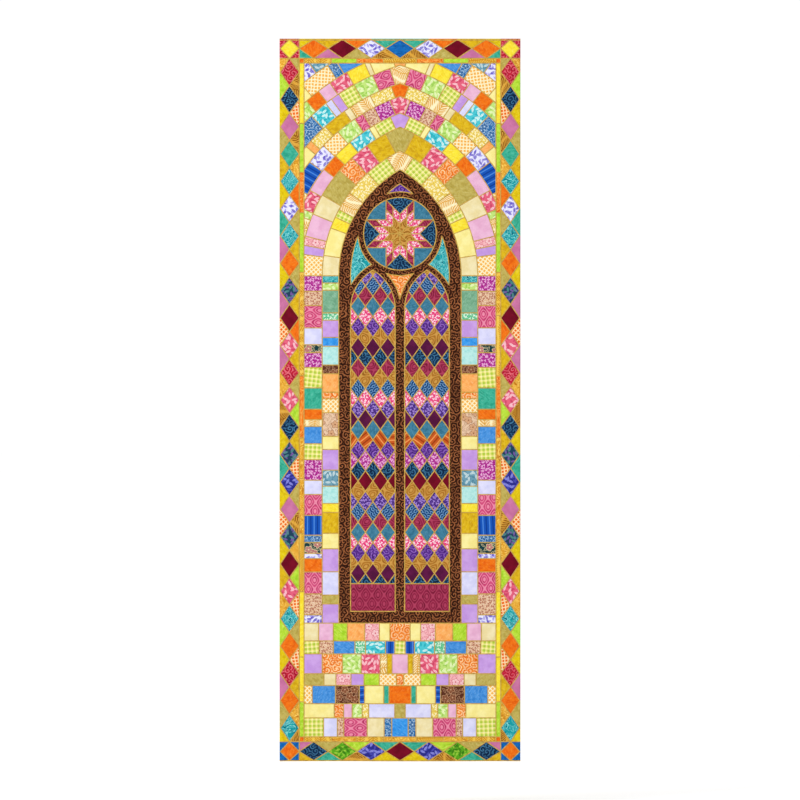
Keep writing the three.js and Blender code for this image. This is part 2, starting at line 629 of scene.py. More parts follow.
INNER_RADIUS = ARCH_RADIUS - FRAME_BAR
LANCET_LEFT = MULLION / 2
LANCET_RIGHT = WINDOW_HALF - FRAME_BAR
LANCET_SPAN = LANCET_RIGHT - LANCET_LEFT
LANCET_FOOT = WINDOW_FOOT + FRAME_BAR
LANCET_SPRING = -684 * MM
ROSE_RADIUS = 92 * MM
ROSE_CENTRE = np.array([0, SPRING + math.sqrt((INNER_RADIUS - ROSE_RADIUS) ** 2 - WINDOW_HALF ** 2)])
ROSE_CLEAR = ROSE_RADIUS + TRACERY_BAR
PANEL_HEIGHT = 70 * MM
PANEL_TOP = LANCET_FOOT + PANEL_HEIGHT
DIAMOND_HALF = np.array([LANCET_SPAN / 6, 26 * MM])


def inlay(outline, fabric, both=False):
    """Sews a patch on top of the window's batik."""
    quilt.patch(outline, fabric, INLAY_LIFT, both)


def inlay_seam(line, closed=False, both=False):
    """Stitches a line on top of the window's batik."""
    quilt.seam("window", line, INLAY_LIFT + SEAM_LIFT, closed, both)


def lay_lancets():
    """Two pointed lights: a damask panel at the foot and rows of diamonds above it, cut to the arch."""
    head_left = arc((LANCET_RIGHT, LANCET_SPRING), LANCET_SPAN, 2 * math.pi / 3, math.pi)
    head_right = arc((LANCET_LEFT, LANCET_SPRING), LANCET_SPAN, 0, math.pi / 3)
    foot = [[LANCET_LEFT, LANCET_FOOT], [LANCET_RIGHT, LANCET_FOOT]]
    light = joined(foot, head_right, head_left)
    panel_edge = [[LANCET_LEFT, PANEL_TOP], [LANCET_RIGHT, PANEL_TOP]]
    above_panel = joined(panel_edge, head_right, head_left)
    panel = box_outline(LANCET_LEFT, LANCET_RIGHT, LANCET_FOOT, PANEL_TOP)
    inlay(panel, "maroon_damask", both=True)
    inlay_seam(panel_edge, both=True)
    inlay_seam(light, closed=True, both=True)
    wide, tall = DIAMOND_HALF
    apex = LANCET_SPRING + LANCET_SPAN * math.sin(math.pi / 3)
    rows = math.ceil((apex - PANEL_TOP) / tall) + 1
    for row in range(rows):
        fabric = DIAMOND_ROWS[row % len(DIAMOND_ROWS)]
        for column in range(4):
            centre = np.array([LANCET_LEFT + wide * (2 * column + row % 2), PANEL_TOP + tall * row])
            diamond = centre + np.array([[0, -tall], [wide, 0], [0, tall], [-wide, 0]])
            inlay(trimmed(diamond, above_panel), fabric, both=True)
    reach = apex - PANEL_TOP + LANCET_SPAN * tall / wide
    for slope in (1, -1):
        for k in range(-rows, 2 * rows):
            start = np.array([LANCET_LEFT, PANEL_TOP + tall * (2 * k + 1)])
            line = np.array([start, start + reach * np.array([wide / tall, slope])])
            for stretch in lines_inside(line, above_panel):
                inlay_seam(stretch, both=True)


def lay_rose():
    """An eight-pointed star of small diamonds in a round light."""
    half_turn = math.pi / 8
    side = ROSE_RADIUS / (2 * math.cos(half_turn))
    split = 2  # diamonds along each side of a point
    fabrics = ["ochre_damask", "pink_sprig", "maroon_damask"]  # from the heart to the tips
    gaps = ["navy_scroll", "steel"]
    for point in range(8):
        turn = point * math.pi / 4
        edges = [side * np.array([math.cos(turn + t), math.sin(turn + t)]) for t in (0, math.pi / 4)]
        for i in range(split):
            for j in range(split):
                at = ROSE_CENTRE + (i * edges[0] + j * edges[1]) / split
                steps = [0 * at, edges[0] / split, (edges[0] + edges[1]) / split, edges[1] / split]
                inlay(at + np.array(steps), fabrics[i + j])
        tip = ROSE_CENTRE + edges[0] + edges[1]
        rim = arc(ROSE_CENTRE, ROSE_RADIUS, turn - half_turn, turn + half_turn)
        inlay(joined([ROSE_CENTRE + edges[0]], rim), gaps[point % 2])
        inlay_seam([ROSE_CENTRE, ROSE_CENTRE + edges[0], tip, ROSE_CENTRE + edges[1]])
        for a, b in (edges, edges[::-1]):
            inlay_seam([ROSE_CENTRE + a / split, ROSE_CENTRE + a / split + b])
    inlay_seam(arc(ROSE_CENTRE, ROSE_RADIUS, 0, 2 * math.pi)[:-1], closed=True)


def eye(outline, fabric, both=False):
    """A light of one fabric, with a seam all round."""
    inlay(outline, fabric, both)
    inlay_seam(outline, closed=True, both=both)


def lay_eyes():
    """The small curved lights left between the rose, the lancets and the arch."""
    eye_radius = LANCET_SPAN + TRACERY_BAR
    head = (LANCET_LEFT, LANCET_SPRING)
    inner_head = (LANCET_RIGHT, LANCET_SPRING)
    arch = (ARCH_CENTRE, INNER_RADIUS)
    rose = (ROSE_CENTRE, ROSE_CLEAR)
    # beside the rose
    high = circles_meet(*arch, *rose, -1)
    low = circles_meet(*rose, head, eye_radius, 1)
    base = circles_meet(*arch, head, eye_radius, 1)
    side_eye = joined(
        arc(*arch, bearing(ARCH_CENTRE, base), bearing(ARCH_CENTRE, high)),
        arc(*rose, bearing(ROSE_CENTRE, high), bearing(ROSE_CENTRE, low)),
        arc(head, eye_radius, bearing(head, low), bearing(head, base)),
    )
    eye(side_eye, "teal_marble", both=True)
    # over the rose
    shoulder = circles_meet(*arch, *rose, 1)
    rise = arc(*arch, bearing(ARCH_CENTRE, shoulder), apex_angle(INNER_RADIUS))
    over_rose = arc(*rose, math.pi - bearing(ROSE_CENTRE, shoulder), bearing(ROSE_CENTRE, shoulder))
    eye(joined(rise, mirrored(rise), over_rose), "purple_scroll")
    # between the lancets' heads
    foot = np.array([0, LANCET_SPRING + math.sqrt(eye_radius ** 2 - LANCET_RIGHT ** 2)])
    meet = circles_meet(*rose, inner_head, eye_radius, -1)
    right = arc(inner_head, eye_radius, bearing(inner_head, foot), bearing(inner_head, meet))
    under_rose = arc(*rose, bearing(ROSE_CENTRE, meet), -math.pi - bearing(ROSE_CENTRE, meet))
    eye(joined(right, under_rose, mirrored(right)), "amber_scroll")


def window_outline():
    """The foot, the right-hand arc up to the apex and its mirror image down again."""
    side = arc(ARCH_CENTRE, ARCH_RADIUS, 0, apex_angle(ARCH_RADIUS))
    foot = [[-WINDOW_HALF, WINDOW_FOOT], [WINDOW_HALF, WINDOW_FOOT]]
    return joined(foot, side, mirrored(side))


lay_border()
lay_band()
lay_rings()
lay_courses()
lay_lancets()
lay_rose()
lay_eyes()
quilt.seam("window", window_outline(), closed=True)


# From flat places to hanging meshes


def ripple(across, up):
    """How far the cloth hangs back from its plane: a squared-cosine hump a ripple, growing to the foot."""
    grown = np.clip((-up - FLAT_HEADING) / (HEIGHT - FLAT_HEADING), 0, 1)
    out = np.zeros_like(across)
    for crest, reach, depth in RIPPLES:
        away = np.minimum(np.abs(across - crest) / reach, 1)
        out = out + depth * np.cos(away * math.pi / 2) ** 2
    return grown * grown * (3 - 2 * grown) * out


def hang(flat):
    """Rows of (across, up, lift) carried to where the cloth hangs."""
    across, up, lift = flat.T
    return np.stack([across, ripple(across, up) - GROUND_FACE - lift, up], axis=1)


ROLES = ("ground", "figure", "accent")  # a printed cloth's three colours
CREASED = math.radians(50)  # an edge that turns by more than this isn't smooth


class Cloth:
    """Gathers flat points, faces, print places and colours for one mesh."""

    def __init__(self):
        self.points, self.faces, self.places, self.colours, self.pinches = [], [], [], [], []
        self.count = 0

    def add(self, flat, faces, places, colours=None, pinch=None):
        self.points.append(flat)
        self.places.append(places)
        self.faces += [[i + self.count for i in face] for face in faces]
        if colours is not None:
            self.colours.append(np.repeat(colours[None], len(flat), axis=0))
            self.pinches.append(pinch)
        self.count += len(flat)

    def make(self, name, material):
        """The finished piece. Its map named Print holds places on the printed cloth, in metres."""
        mesh = bpy.data.meshes.new(name)
        mesh.from_pydata(hang(np.concatenate(self.points)), [], self.faces)
        corners = np.empty(len(mesh.loops), np.int32)
        mesh.loops.foreach_get("vertex_index", corners)
        places = np.concatenate(self.places)[corners]
        mesh.uv_layers.new(name="Print").data.foreach_set("uv", places.astype(np.float32).ravel())
        if self.colours:
            tables = np.concatenate(self.colours)
            for k, role in enumerate(ROLES):
                layer = mesh.attributes.new(role, "FLOAT_COLOR", "POINT")
                layer.data.foreach_set("color", tables[:, k].astype(np.float32).ravel())
            pinch = np.concatenate(self.pinches).astype(np.float32)
            mesh.attributes.new("pinch", "FLOAT", "POINT").data.foreach_set("value", pinch)
        mesh.polygons.foreach_set("use_smooth", np.ones(len(mesh.polygons), bool))
        mesh.set_sharp_from_angle(angle=CREASED)
        mesh.materials.append(material)
        mesh.validate()
        piece = bpy.data.objects.new(name, mesh)
        bpy.context.scene.collection.objects.link(piece)
        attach(piece, "root")
        return piece


def linear(code):
    """A colour written as six hex digits, in linear light."""
    srgb = np.array([int(code[k:k + 2], 16) for k in (0, 2, 4)]) / 255
    return np.where(srgb <= 0.04045, srgb / 12.92, ((srgb + 0.055) / 1.055) ** 2.4)


DYE_STRENGTH = 0.76  # cloth gives back less light than its colour on a screen


def kept_on(flat):
    """Front points kept within the cloth's folded edge, where they turn back a little with it."""
    across, up = np.clip(flat[:, 0], -HALF_WIDTH, HALF_WIDTH), np.clip(flat[:, 1], FOOT, 0)
    from_edge = np.minimum(HALF_WIDTH - np.abs(across), np.minimum(-up, up - FOOT))
    gap = np.clip(1 - from_edge / ROUNDING, 0, 1)
    return np.stack([across, up, flat[:, 2] - EDGE_FOLD * gap ** 2], axis=1)


def colours_of(fabric):
    """Ground, figure and accent as three rows of four numbers."""
    codes = STASH[PRINT_OF[fabric]][fabric].split()
    rows = np.array([linear(code) for code in codes]) * DYE_STRENGTH
    return np.concatenate([rows, np.ones((3, 1))], axis=1)


# A patch's rings go in this share of the way to a side that it faces, and of the way along a side
SHARE_ACROSS = 0.3
SHARE_ALONG = 0.45
FACING = 0.3  # the cosine of the angle between two sides, under which they face each other


def reach_in(outline):
    """How far each corner may be inset: part of the way to any side it faces, and less in a sharp corner."""
    length = np.linalg.norm(edges_of(outline), axis=1)
    ahead = edges_of(outline) / length[:, None]
    behind = np.roll(ahead, 1, axis=0)
    offset = outline[:, None] - outline[None]
    along_side = np.clip((offset * ahead[None]).sum(axis=2), 0, length[None])
    away = np.linalg.norm(offset - along_side[..., None] * ahead[None], axis=2)
    facing = np.minimum(ahead @ ahead.T, behind @ ahead.T) < FACING
    away = np.where(facing & (away > TOUCHING), away, 1.0).min(axis=1)
    turn = np.arctan2(behind[:, 0] * ahead[:, 1] - behind[:, 1] * ahead[:, 0], (behind * ahead).sum(axis=1))
    sharp = np.tan(np.clip((math.pi - turn) / 2, 0, 0.499 * math.pi))
    shorter = np.minimum(length, np.roll(length, 1))
    return np.minimum(PUFF_INSETS[-1], np.minimum(SHARE_ACROSS * away, SHARE_ALONG * shorter * sharp))


def crown_place(ring):
    """A place that sees the whole of a ring: from its mean, moved in from whichever side it lies behind."""
    inward = left_of(edges_of(ring))
    place = ring.mean(axis=0)
    deep_enough, aim, most_moves = 0.15 * MM, 0.3 * MM, 80
    for _ in range(most_moves):
        depths = ((place - ring) * inward).sum(axis=1)
        worst = depths.argmin()
        if depths[worst] > deep_enough:
            break
        place = place + inward[worst] * (aim - depths[worst])
    return place


def puffed(outline, lift):
    """A patch as a closed shell: rings inset from its edge and raised, a crown and a flat back."""
    outline = stepped(outline, EDGE_STEP, closed=True)
    after = left_of(edges_of(outline))
    before = np.roll(after, 1, axis=0)
    mitre = (before + after) / (1 + (before * after).sum(axis=1))[:, None]
    share = (reach_in(outline) / PUFF_INSETS[-1])[:, None]
    rise = LEAST_PUFF + (1 - LEAST_PUFF) * share
    n = len(outline)
    flat, pinch = [], []
    for inset, height, pinched in zip(PUFF_INSETS, PUFF_LIFTS, PINCHED):
        flat.append(np.hstack([outline + inset * share * mitre, lift + height * rise]))
        pinch.append(np.full(n, pinched))
    centre = crown_place(flat[-1][:, :2])
    crown = LEAST_PUFF + (1 - LEAST_PUFF) * share.mean()
    flat += [[[*centre, lift + PUFF_CROWN * crown]], [[*centre, lift + UNDERSIDE]]]
    here = np.arange(n)
    after = (here + 1) % n
    faces = []
    for k in range(len(PUFF_INSETS) - 1):
        low, high = k * n, (k + 1) * n
        faces += np.stack([here + low, after + low, after + high, here + high], axis=1).tolist()
    peak = len(PUFF_INSETS) * n
    faces += np.stack([here + peak - n, after + peak - n, np.full(n, peak)], axis=1).tolist()
    faces += np.stack([after, here, np.full(n, peak + 1)], axis=1).tolist()
    return np.concatenate(flat), faces, np.concatenate([*pinch, [0, 0]])


CUT_SKEW = 0.05  # how far off square a patch is cut, in radians
BOLT = 0.4  # the length and width of cloth that patches are cut from


def turned(flat, outline):
    """Places on the printed cloth: squared up with the patch's first edge, laid somewhere on the bolt."""
    edge = outline[1] - outline[0]
    angle = math.atan2(edge[1], edge[0]) + rng.integers(4) * math.pi / 2 + rng.normal(0, CUT_SKEW)
    cos, sin = math.cos(-angle), math.sin(-angle)
    centred = flat[:, :2] - outline.mean(axis=0)
    return centred @ np.array([[cos, sin], [-sin, cos]]) + rng.uniform(0, BOLT, 2)


def shell(across, up, front, back):
    """Two sheets over one grid of flat places, with walls between them round the rim."""
    rows, columns = across.shape
    grid = np.arange(rows * columns).reshape(rows, columns)
    quads = np.stack([grid[:-1, :-1], grid[:-1, 1:], grid[1:, 1:], grid[1:, :-1]], axis=-1).reshape(-1, 4)
    rim = np.concatenate([grid[0, :-1], grid[:-1, -1], grid[-1, :0:-1], grid[:0:-1, 0]])
    after = np.roll(rim, -1)
    below = rows * columns
    walls = np.stack([rim + below, after + below, after, rim], axis=1)
    flat = np.concatenate([np.stack([across, up, lift], axis=-1).reshape(-1, 3) for lift in (front, back)])
    return flat, [*quads.tolist(), *(quads[:, ::-1] + below).tolist(), *walls.tolist()]


def closed_up(piece):
    """Merges points that share a place, so that the rim and the poles are closed."""
    work = bmesh.new()
    work.from_mesh(piece.data)
    bmesh.ops.remove_doubles(work, verts=work.verts, dist=0.005 * MM)
    bmesh.ops.dissolve_degenerate(work, edges=work.edges, dist=0.002 * MM)
    work.to_mesh(piece.data)
    work.free()
    return piece


OVERRUN = 0.2  # how far a line of satin runs past its end, as a share of its width
LEAST_MITRE = 0.45  # keeps the point of a sharp turn short


def satin(line, lift, closed, width, height, longest=SATIN_STEP):
    """A half-round section carried along a line, mitred at its turns. Its map runs along and across it."""
    line = stepped(line, longest, closed)
    if not closed:
        ends = [line[1] - line[0], line[-1] - line[-2]]
        reach = [OVERRUN * width * e / np.linalg.norm(e) for e in ends]
        line = np.concatenate([[line[0] - reach[0]], line[1:-1], [line[-1] + reach[1]]])
    else:
        line = np.concatenate([line, line[:1]])
    edge = np.diff(line, axis=0)
    lengths = np.linalg.norm(edge, axis=1)
    side = left_of(edge)
    wrap = (side[-1:], side[:1]) if closed else (side[:1], side[-1:])
    before = np.concatenate([wrap[0], side])
    after = np.concatenate([side, wrap[1]])
    mitre = (before + after) / np.maximum(1 + (before * after).sum(axis=1), LEAST_MITRE)[:, None]
    n, m = len(line), len(SATIN_ACROSS)
    across = line[:, None] - mitre[:, None] * (SATIN_ACROSS * width / 2)[None, :, None]
    lifts = np.broadcast_to(lift + SATIN_RISE * height, (n, m))
    flat = np.concatenate([across, lifts[..., None]], axis=2).reshape(-1, 3)
    along = np.concatenate([[0], np.cumsum(lengths)]) + rng.uniform(0, 0.1)
    places = np.stack(np.broadcast_arrays(along[:, None], SATIN_ACROSS[None] * width / 2), axis=2)
    here = np.arange(n - 1)[:, None] * m
    track = np.arange(m)[None]
    follow = (track + 1) % m
    quads = np.stack([here + follow, here + m + follow, here + m + track, here + track], axis=-1)
    faces = quads.reshape(-1, 4).tolist()
    faces += [np.arange(m).tolist(), (np.arange(m)[::-1] + (n - 1) * m).tolist()]
    return flat, faces, places.reshape(-1, 2)


# Materials


class Value:
    """A number, place or colour that a node gives out. Arithmetic on it adds the nodes that work it out."""

    def __init__(self, socket):
        self.socket = socket

    def __add__(self, other):
        return step("ADD", self, other)

    def __sub__(self, other):
        return step("SUBTRACT", self, other)

    def __rsub__(self, other):
        return step("SUBTRACT", other, self)

    def __mul__(self, other):
        return step("MULTIPLY", self, other)

    def __truediv__(self, other):
        return step("DIVIDE", self, other)

    def __abs__(self):
        return step("ABSOLUTE", self)


BUMP_STRENGTH = 0.8


def feed(socket, value):
    """Links a value to a socket, or sets a plain number, place or colour there."""
    if isinstance(value, Value):
        socket.id_data.links.new(value.socket, socket)
    else:
        socket.default_value = value


def node(kind, inputs, tree=None, **settings):
    """A node in the given tree of nodes, or in that of the first value it is fed."""
    if tree is None:
        tree = next(value.socket.id_data for value in inputs.values() if isinstance(value, Value))
    made = tree.nodes.new("ShaderNode" + kind)
    for name, setting in settings.items():
        setattr(made, name, setting)
    for name, value in inputs.items():
        feed(made.inputs[name], value)
    return made


def step(operation, *values):
    """One step of arithmetic, on places and colours part by part. A number times one of those scales it."""
    is_plural = [v.socket.type != "VALUE" if isinstance(v, Value) else isinstance(v, tuple) for v in values]
    if any(is_plural) and not all(is_plural):
        made = node("VectorMath", {0: values[0], 3: values[1]}, operation="SCALE")
    else:
        kind = "VectorMath" if all(is_plural) else "Math"
        made = node(kind, dict(enumerate(values)), operation=operation)
    return Value(made.outputs[0])


sine, cosine, root, floored = (functools.partial(step, name) for name in ("SINE", "COSINE", "SQRT", "FLOOR"))


def greatest(*values):
    return functools.reduce(functools.partial(step, "MAXIMUM"), values)


def parts(place):
    """Across and up the cloth."""
    return [Value(socket) for socket in node("SeparateXYZ", {0: place}).outputs[:2]]


def spun(place, angle):
    """The place turned about the origin."""
    return Value(node("VectorRotate", {"Vector": place, "Angle": angle}, rotation_type="Z_AXIS").outputs[0])


def ease(value, start, end):
    """0 before start and 1 past end, smooth between; start may be the larger."""
    ranges = {"Value": value, "From Min": start, "From Max": end}
    return Value(node("MapRange", ranges, interpolation_type="SMOOTHSTEP").outputs[0])


def mix(share, a, b):
    """The colour a where the share is 0, b where it is 1."""
    return Value(node("Mix", {0: share, 6: a, 7: b}, data_type="RGBA").outputs[2])


def noise(place, scale, detail=2.0, rough=0.5, warp=0.0, output=0):
    """Soft clouds, about as many to a metre as the scale: a number, or a colour as output 1."""
    inputs = {"Vector": place, "Scale": scale, "Detail": detail, "Roughness": rough, "Distortion": warp}
    return Value(node("TexNoise", inputs, noise_dimensions="2D").outputs[output])


def wavy(place, scale, reach):
    """The place moved a little by noise, by up to about reach."""
    return place + (noise(place, scale, 1.0, output=1) - (0.5, 0.5, 0.5)) * (2 * reach)


def scatter(place, scale, loose=1.0):
    """Cells dropped over the cloth: the place in its own cell, turned at random, and a random number."""
    inputs = {"Vector": place, "Scale": scale, "Randomness": loose}
    cell = node("TexVoronoi", inputs, voronoi_dimensions="2D").outputs
    turn, chance = parts(Value(cell["Color"]))
    return spun((place - Value(cell["Position"])) * scale, turn * (2 * math.pi)), chance


def polar(place):
    """How far a place is from the middle of its cell, and in which direction."""
    x, y = parts(place)
    return root(x * x + y * y), step("ARCTAN2", y, x)


def repeat(value, period):
    """From -0.5 to 0.5 across each repeat."""
    return step("FRACT", value / period) - 0.5


def weave_of(place, pitch):
    """A plain weave's ups and downs, from -1 to 1: the product of a wave across and a wave along."""
    x, y = parts(place)
    return sine(x * (2 * math.pi / pitch)) * sine(y * (2 * math.pi / pitch))


class Shade:
    """A new material, from what it reads off the piece to the sockets of its shader."""

    def __init__(self, name):
        self.material = bpy.data.materials.new(name)
        self.material.use_nodes = True

    def read(self, kind, output=0, **settings):
        return Value(node(kind, {}, tree=self.material.node_tree, **settings).outputs[output])

    def place(self):
        """Where on the printed cloth, in metres."""
        return self.read("UVMap", uv_map="Print")

    def finish(self, sockets, height=0.0):
        """Feeds the shader. A height is in metres and becomes its bump."""
        if height:
            bump = node("Bump", {"Height": height, "Distance": 1.0, "Strength": BUMP_STRENGTH})
            sockets["Normal"] = Value(bump.outputs[0])
        shader = self.material.node_tree.nodes["Principled BSDF"]
        for name, value in sockets.items():
            feed(shader.inputs[name], value)
        return self.material


THREAD_PITCH = 0.55 * MM
WEAVE_DEPTH = 0.035 * MM
PUCKER_DEPTH = 0.5 * MM
GATHER_DEPTH = 0.22 * MM
PAINTED_SEAM_SHADE = 0.16  # painted shade: how much darker the cloth's colour is made where it is pinched at a seam


def cotton(name, paint):
    """Matt printed cotton. paint(place, ground, figure, accent) gives the colour of the print."""
    shade = Shade(name)
    place = shade.place()
    pinch = shade.read("Attribute", "Fac", attribute_name="pinch")
    colour = paint(place, *(shade.read("Attribute", attribute_name=role) for role in ROLES))
    weave = weave_of(place, THREAD_PITCH)
    age = noise(place, 160.0, 3.0, 0.6)
    # The age noise is tone that differs at random; the weave term paints its raised threads lighter and its
    # hollows darker, as painted shade.
    uneven = age * 0.16 + (weave * 0.04 + 0.93)
    gathers = noise(place, 260.0, 1.0, 0.4) * (pinch * GATHER_DEPTH)
    sockets = {
        # The colour is darkened near the seams by the pinch: painted shade in the hollow beside each seam.
        "Base Color": colour * (uneven - pinch * pinch * PAINTED_SEAM_SHADE),
        "Roughness": age * 0.14 + 0.78,
        "Specular IOR Level": 0.06,
        "Sheen Weight": 0.02,
        "Sheen Roughness": 0.5,
    }
    return shade.finish(sockets, weave * WEAVE_DEPTH + (noise(place, 62.0, 1.5) * PUCKER_DEPTH + gathers))


def paint_plain(place, ground, figure, accent):
    """Two close tones in soft clouds."""
    return mix(ease(noise(place, 45.0), 0.3, 0.7), ground, figure)


def paint_mottled(place, ground, figure, accent):
    """Hand-dyed blotches, with fine slanting streaks."""
    blotch = ease(noise(place, 95.0, 4.0, 0.6, 0.4), 0.4, 0.66)
    streaks = spun(place, 0.6) * (330.0, 85.0, 0.0)
    fleck = ease(noise(streaks, 1.0, 3.0, 0.6), 0.5, 0.72)
    return mix(fleck * 0.6, mix(blotch, ground, figure), accent)


def paint_leaf(place, ground, figure, accent):
    """Pointed leaves strewn two deep, each a lens with a midrib."""
    colour = ground
    for offset, scale, dye in (((0.013, 0.027, 0.0), 92.0, accent), ((0.0, 0.0, 0.0), 78.0, figure)):
        x, y = parts(scatter(place + offset, scale)[0])
        off = abs(y)
        blade = ease(off - (0.21 - x * x * 0.52), 0.02, -0.03)
        rib = ease(off, 0.012, 0.035)
        colour = mix(blade * rib, colour, dye)
    return colour


def paint_frond(place, ground, figure, accent):
    """Fern fronds side by side: slanting leaflets each side of a stem, every other frond upside down."""
    period, leaflet = 33 * MM, 5.6 * MM
    x, y = parts(wavy(place, 26.0, 7 * MM))
    out = abs(repeat(x, period) * period)
    way = 1.0 - step("PINGPONG", floored(x / period), 1.0) * 2.0
    blade = ease(abs(repeat(y * way - out * 0.8, leaflet)), 0.33, 0.25)
    reach = ease(out, 0.46 * period, 0.34 * period)
    stem = ease(out, 1.3 * MM, 0.8 * MM)
    shadow = ease(noise(place, 120.0, 3.0), 0.45, 0.7)
    return mix(greatest(blade * reach, stem), mix(shadow * 0.25, ground, accent), figure)


def paint_scroll(place, ground, figure, accent):
    """Curling vines: a spiral line round each cell's middle."""
    local, chance = scatter(wavy(place, 80.0, 2.4 * MM), 62.0)
    radius, angle = polar(local)
    vine = ease(sine(radius * 15.0 + angle), 0.15, 0.6)
    shadow = ease(noise(place, 110.0, 3.0, 0.6), 0.42, 0.66)
    return mix(vine * (chance * 0.5 + 0.5), mix(shadow, ground, accent), figure)


def paint_sprig(place, ground, figure, accent):
    """Three-leaved sprigs thickly strewn, with dots between them."""
    dot = ease(polar(scatter(place + (0.031, 0.017, 0.0), 255.0)[0])[0], 0.3, 0.2)
    radius, angle = polar(scatter(place, 142.0, 0.85)[0])
    edge = cosine(angle * 3.0) * 0.17 + 0.29
    sprig = ease(radius - edge, 0.05, -0.03)
    return mix(sprig, mix(dot, ground, accent), figure)


def paint_lattice(place, ground, figure, accent):
    """A net of slanting lines with a dot in every mesh."""
    slanting = parts(spun(wavy(place, 80.0, 1.6 * MM), math.pi / 4))
    a, b = (abs(repeat(axis, 8.2 * MM)) for axis in slanting)
    net = ease(greatest(a, b), 0.33, 0.4)
    dot = ease(a + b, 0.22, 0.14)
    return mix(dot, mix(net, ground, figure), accent)


def paint_flower(place, ground, figure, accent):
    """Open five-petalled flowers drawn in line over small leaves."""
    x, y = parts(scatter(place + (0.041, 0.009, 0.0), 105.0)[0])
    leaf_line = ease(abs(abs(y) - (0.2 - x * x * 0.6)), 0.055, 0.025)
    radius, angle = polar(scatter(place, 40.0, 0.8)[0])
    beyond = radius - (abs(cosine(angle * 2.5)) * 0.14 + 0.25)
    petal = ease(beyond, 0.02, -0.01)
    outline = ease(abs(beyond), 0.035, 0.015)
    vein = ease(abs(sine(angle * 10.0)), 0.3, 0.1) * ease(radius, 0.26, 0.2)
    heart = ease(radius, 0.085, 0.06)
    filled = mix(petal, mix(leaf_line, ground, figure), mix(0.55, ground, accent))
    return mix(greatest(outline, vein * petal, heart), filled, figure)


def paint_plaid(place, ground, figure, accent):
    """Broad bands crossing, half strength where one lies and full where both do, with a fine light line."""
    runs = [repeat(axis, 11 * MM) for axis in parts(place)]
    a, b = (ease(abs(run), 0.27, 0.22) for run in runs)
    lines = [ease(abs(run - 0.4), 0.045, 0.02) for run in runs]
    return mix(greatest(*lines) * 0.8, mix((a + b) * 0.48, ground, figure), accent)


def paint_stripe(place, ground, figure, accent):
    """Fine stripes, light and dark by turns."""
    pitch = 8.4 * MM
    y = parts(wavy(place, 60.0, 0.4 * MM))[1]
    light = ease(abs(repeat(y, pitch)), 0.2, 0.13)
    dark = ease(abs(repeat(y + pitch / 2, 2 * pitch)), 0.12, 0.08)
    return mix(dark, mix(light, ground, figure), accent)


def paint_fan(place, ground, figure, accent):
    """Overlapping fans of arcs. A point belongs to the lowest fan that reaches it."""
    radius = 12 * MM
    x, y = parts(place)
    found = None
    for lower in (0.0, 1.0, 2.0):
        row = floored(y / (radius / 2)) - lower
        stagger = step("PINGPONG", row, 1.0) * radius
        aside = repeat(x + stagger, 2 * radius) * (2 * radius)
        above = y - row * (radius / 2)
        away = root(aside * aside + above * above)
        if found is None:
            found = away
            continue
        found = (away - found) * step("LESS_THAN", away, radius) + found
    lines = ease(abs(repeat(found, radius / 2)), 0.3, 0.42)
    heart = ease(found, 2.6 * MM, 1.8 * MM)
    return mix(heart, mix(lines, ground, figure), accent)


def paint_marble(place, ground, figure, accent):
    """Swirls: bands of a strongly stirred noise."""
    bands = sine(noise(place, 38.0, 2.0, 0.5, 2.2) * 34.0)
    dark = ease(noise(place, 52.0, 2.0, 0.5, 1.5), 0.5, 0.72)
    return mix(ease(bands, 0.35, 0.8), mix(dark, ground, accent), figure)


def paint_damask(place, ground, figure, accent):
    """Tone on tone: an ogee net with a rosette in each mesh."""
    wide, tall = 31 * MM, 46 * MM
    x, y = parts(place)
    level = abs(cosine(x * (2 * math.pi / wide)) + cosine(y * (2 * math.pi / tall)))
    net = ease(level, 0.3, 0.16)
    rose = ease(abs(level - 1.15), 0.2, 0.1)
    bud = ease(level, 1.7, 1.82)
    tone = ease(noise(place, 90.0, 3.0), 0.45, 0.7)
    return mix(greatest(net, rose, bud), mix(tone, ground, accent), figure)


PRINTS = {
    "plain": paint_plain, "mottled": paint_mottled, "leaf": paint_leaf, "frond": paint_frond,
    "scroll": paint_scroll, "sprig": paint_sprig, "lattice": paint_lattice, "flower": paint_flower,
    "plaid": paint_plaid, "stripe": paint_stripe, "fan": paint_fan, "marble": paint_marble,
    "damask": paint_damask,
}


SATIN_PITCH = 0.42 * MM
SATIN_RELIEF = 0.05 * MM
GROUND_PITCH = 0.9 * MM
GROUND_RELIEF = 0.05 * MM
SLUB_RELIEF = 0.06 * MM


def undyed(code):
    """A thread's or a ground cloth's own colour."""
    return (*linear(code), 1)


def thread(name, dark, light):
    """Satin stitch: close threads across the seam, a little slanted. Each is its own tone between dark and
    light: partly the threads' own colour, partly painted sheen.
    """
    shade = Shade(name)
    place = shade.place()
    along, across = parts(place)
    ridge = sine((across * 0.35 + along) * (2 * math.pi / SATIN_PITCH))
    uneven = noise(place * (1 / SATIN_PITCH, 90.0, 0.0), 1.0, 2.0, 0.6)
    share = uneven * 0.7 + noise(place, 70.0) * 0.5
    sockets = {
        # Dark to light, thread by thread and along the seam: the threads' own tones and painted sheen.
        "Base Color": mix(ease(share, 0.35, 0.85), undyed(dark), undyed(light)),
        "Roughness": uneven * 0.2 + 0.36,
        "Specular IOR Level": 0.3,
        "Sheen Weight": 0.08,
    }
    return shade.finish(sockets, (ridge + uneven) * SATIN_RELIEF)


